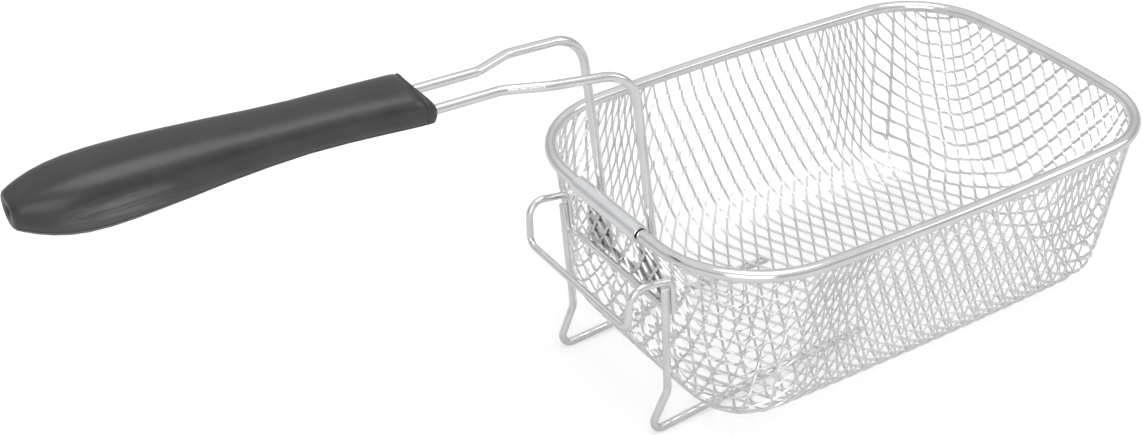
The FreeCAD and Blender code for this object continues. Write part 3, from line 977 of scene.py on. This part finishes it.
class BASKET_OT_grip(bpy.types.Operator):
    """Loft the moulded grip through its stations"""

    bl_idname = "basket.grip"
    bl_label = "Build grip"

    def execute(self, context):
        work = bmesh.new()
        turns = [(360.0 / GRIP_SIDES * k, 0.0) for k in range(GRIP_SIDES)]
        for seam in SEAM_TURNS:
            turns += [(seam - SEAM_HALF, 0.0), (seam, SEAM_PROUD), (seam + SEAM_HALF, 0.0)]
        turns.sort()
        count = len(turns)
        rings = []
        for share, half_width, half_height, rise in GRIP_STATIONS:
            ring = []
            for turn, proud in turns:
                c, s = math.cos(math.radians(turn)), math.sin(math.radians(turn))
                power = 2.0 / GRIP_SQUARENESS
                y = (half_width + proud) * math.copysign(abs(c) ** power, c)
                y *= 1.0 + GRIP_SPREAD * s
                z = (half_height + proud) * math.copysign(abs(s) ** power, s)
                back = HEAD_SLOPE * max(s, 0.0) ** HEAD_POWER * max(1.0 - share / HEAD_SHARE, 0.0)
                x = RIM_FRONT - GRIP_START - share * GRIP_LENGTH - back
                ring.append(work.verts.new(place(x, y, GRIP_AXIS + rise + z)))
            rings.append(ring)
        for low, high in zip(rings, rings[1:]):
            for a in range(count):
                b = (a + 1) % count
                work.faces.new((low[a], high[a], high[b], low[b]))
        work.faces.new(rings[0])
        work.faces.new(list(reversed(rings[-1])))
        bmesh.ops.recalc_face_normals(work, faces=work.faces)
        for face in work.faces:
            face.smooth = len(face.verts) <= 4
        mesh = bpy.data.meshes.new("grip_shell")
        work.to_mesh(mesh)
        work.free()
        keep("grip_shell", mesh, grip_black(), "grip")
        return {"FINISHED"}


class BASKET_OT_bracket(bpy.types.Operator):
    """Finish the handle bracket with plated metal"""

    bl_idname = "basket.bracket"
    bl_label = "Finish bracket"

    def execute(self, context):
        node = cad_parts["handle_bracket"]
        material = plated_sheet()
        for k in range(len(node.material_slots)):
            node.material_slots[k].material = material
        return {"FINISHED"}


class BASKET_OT_studio(bpy.types.Operator):
    """Set up the floor, the lights, the world and the camera"""

    bl_idname = "basket.studio"
    bl_label = "Build studio"

    def execute(self, context):
        settings = context.scene.basket_studio
        build_floor()
        build_world(settings.sky)
        build_lights(settings.key)
        build_camera()
        context.scene.view_settings.view_transform = "Standard"
        return {"FINISHED"}


FLOOR_REACH = 3.0
FLOOR_TONE = 0.77
FLOOR_GLOW = 0.42

# Height in the sky from bottom to top, and its level
SKY_BANDS = ((0.0, 0.95), (0.47, 0.95), (0.54, 0.66), (0.68, 0.65), (0.80, 0.97), (1.0, 0.97))

# Name, place, size and share of the key light's power
SOFTBOXES = (
    ("softbox_top", (0.1, -0.2, 1.3), 0.9, 0.7),
    ("softbox_left", (-0.8, -1.1, 0.55), 1.0, 0.62),
    ("softbox_right", (1.2, -0.7, 0.8), 0.7, 0.3),
)
LIGHT_AIM = (0.0, 0.0, 0.06)


def build_floor():
    """Pale floor that looks a little brighter to the camera than it lights the part."""
    mesh = bpy.data.meshes.new("studio_floor")
    reach = FLOOR_REACH
    mesh.from_pydata(
        [(-reach, -reach, 0.0), (reach, -reach, 0.0), (reach, reach, 0.0), (-reach, reach, 0.0)],
        [],
        [(0, 1, 2, 3)],
    )
    floor = bpy.data.objects.new("studio_floor", mesh)
    bpy.context.scene.collection.objects.link(floor)
    material = bpy.data.materials.new("studio_floor")
    material.use_nodes = True
    nodes = material.node_tree.nodes
    links = material.node_tree.links
    nodes.clear()
    out = nodes.new("ShaderNodeOutputMaterial")
    matte = nodes.new("ShaderNodeBsdfDiffuse")
    matte.inputs["Color"].default_value = (*grey(FLOOR_TONE), 1.0)
    glow = nodes.new("ShaderNodeEmission")
    glow.inputs["Color"].default_value = (1.0, 1.0, 1.0, 1.0)
    rays = nodes.new("ShaderNodeLightPath")
    level = nodes.new("ShaderNodeMath")
    level.operation = "MULTIPLY"
    links.new(rays.outputs["Is Camera Ray"], level.inputs[0])
    level.inputs[1].default_value = FLOOR_GLOW
    links.new(level.outputs[0], glow.inputs["Strength"])
    both = nodes.new("ShaderNodeAddShader")
    links.new(matte.outputs[0], both.inputs[0])
    links.new(glow.outputs[0], both.inputs[1])
    links.new(both.outputs[0], out.inputs[0])
    mesh.materials.append(material)


def build_world(strength):
    """Banded sky that lights the part, and plain white where the camera sees it."""
    world = bpy.data.worlds.new("studio_world")
    bpy.context.scene.world = world
    world.use_nodes = True
    nodes = world.node_tree.nodes
    links = world.node_tree.links
    nodes.clear()
    out = nodes.new("ShaderNodeOutputWorld")
    lit = nodes.new("ShaderNodeBackground")
    lit.inputs["Strength"].default_value = strength
    seen = nodes.new("ShaderNodeBackground")
    seen.inputs["Color"].default_value = (1.0, 1.0, 1.0, 1.0)
    seen.inputs["Strength"].default_value = 1.0
    coords = nodes.new("ShaderNodeTexCoord")
    split = nodes.new("ShaderNodeSeparateXYZ")
    links.new(coords.outputs["Generated"], split.inputs[0])
    ramp = nodes.new("ShaderNodeValToRGB")
    for k, (spot, tone) in enumerate(SKY_BANDS):
        knot = ramp.color_ramp.elements[k] if k < 2 else ramp.color_ramp.elements.new(spot)
        knot.position = spot
        knot.color = (tone, tone, tone * 1.005, 1.0)
    lift = nodes.new("ShaderNodeMapRange")
    lift.inputs["From Min"].default_value = -1.0
    lift.inputs["From Max"].default_value = 1.0
    links.new(split.outputs["Z"], lift.inputs["Value"])
    links.new(lift.outputs["Result"], ramp.inputs["Fac"])
    links.new(ramp.outputs["Color"], lit.inputs["Color"])
    rays = nodes.new("ShaderNodeLightPath")
    mix = nodes.new("ShaderNodeMixShader")
    links.new(rays.outputs["Is Camera Ray"], mix.inputs["Fac"])
    links.new(lit.outputs[0], mix.inputs[1])
    links.new(seen.outputs[0], mix.inputs[2])
    links.new(mix.outputs[0], out.inputs[0])


def build_lights(power):
    """Square soft lights turned toward the part."""
    for name, spot, size, share in SOFTBOXES:
        light = bpy.data.lights.new(name, "AREA")
        light.shape = "SQUARE"
        light.size = size
        light.energy = power * share
        lamp = bpy.data.objects.new(name, light)
        aim = Vector(LIGHT_AIM) - Vector(spot)
        turned = aim.to_track_quat("-Z", "Y").to_matrix().to_4x4()
        lamp.matrix_world = Matrix.Translation(spot) @ turned
        bpy.context.scene.collection.objects.link(lamp)


# Camera fitted to the photograph: its picture's size and focal length in pixels, turn, tilt and
# roll in degrees, and where the middle of the rim lies, in pixels and in millimetres of depth
PHOTO_WIDTH = 1143.0
PHOTO_HEIGHT = 435.0
FOCAL_LENGTH = 1742.56
CAMERA_TURN = 31.1
CAMERA_TILT = 32.8
CAMERA_ROLL = -1.68
RIM_ACROSS = 841.83
RIM_DOWN = 125.22
RIM_DISTANCE = 693.89
SENSOR_WIDTH = 36.0


def build_camera():
    """Camera at the photograph's angle."""
    turn, tilt = math.radians(CAMERA_TURN), math.radians(CAMERA_TILT)
    roll = math.radians(CAMERA_ROLL)
    right = Vector((math.cos(turn), -math.sin(turn), 0.0))
    ahead = Vector(
        (math.sin(turn) * math.cos(tilt), math.cos(turn) * math.cos(tilt), -math.sin(tilt))
    )
    up = right.cross(ahead)
    side = right * math.cos(roll) + up * math.sin(roll)
    top = up * math.cos(roll) - right * math.sin(roll)
    shift = Vector(
        (
            (RIM_ACROSS - PHOTO_WIDTH / 2.0) / FOCAL_LENGTH * RIM_DISTANCE,
            -(RIM_DOWN - PHOTO_HEIGHT / 2.0) / FOCAL_LENGTH * RIM_DISTANCE,
            RIM_DISTANCE,
        )
    )
    eye = -(side * shift.x + top * shift.y + ahead * shift.z)
    camera = bpy.data.cameras.new("camera")
    camera.sensor_width = SENSOR_WIDTH
    camera.sensor_fit = "HORIZONTAL"
    camera.lens = SENSOR_WIDTH * FOCAL_LENGTH / PHOTO_WIDTH
    camera.clip_start = 0.01
    holder = bpy.data.objects.new("camera", camera)
    turned = Matrix((side, top, -ahead)).transposed().to_4x4()
    holder.matrix_world = Matrix.Translation(place(*eye)) @ turned
    bpy.context.scene.collection.objects.link(holder)
    bpy.context.scene.camera = holder


class BASKET_PT_panel(bpy.types.Panel):
    """Lists the steps of the build"""

    bl_idname = "BASKET_PT_panel"
    bl_label = "Fryer basket"
    bl_space_type = "VIEW_3D"
    bl_region_type = "UI"
    bl_category = "Basket"

    def draw(self, context):
        layout = self.layout
        for group in ("basket_mesh", "basket_wires", "basket_studio"):
            settings = getattr(context.scene, group)
            for name in settings.__annotations__:
                layout.prop(settings, name)
        for step in STEPS:
            layout.operator(step.bl_idname)


STEPS = (BASKET_OT_mesh, BASKET_OT_wires, BASKET_OT_grip, BASKET_OT_bracket, BASKET_OT_studio)
GROUPS = (
    ("basket_mesh", MeshSettings),
    ("basket_wires", WireSettings),
    ("basket_studio", StudioSettings),
)


def register():
    for _, group in GROUPS:
        bpy.utils.register_class(group)
    for step in STEPS:
        bpy.utils.register_class(step)
    bpy.utils.register_class(BASKET_PT_panel)
    for name, group in GROUPS:
        setattr(bpy.types.Scene, name, bpy.props.PointerProperty(type=group))


def unregister():
    for name, _ in GROUPS:
        delattr(bpy.types.Scene, name)
    bpy.utils.unregister_class(BASKET_PT_panel)
    for step in reversed(STEPS):
        bpy.utils.unregister_class(step)
    for _, group in reversed(GROUPS):
        bpy.utils.unregister_class(group)


def main():
    register()
    bpy.ops.basket.mesh()
    bpy.ops.basket.wires()
    bpy.ops.basket.grip()
    bpy.ops.basket.bracket()
    bpy.ops.basket.studio()
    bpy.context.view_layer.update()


if __name__ == "__main__":
    main()
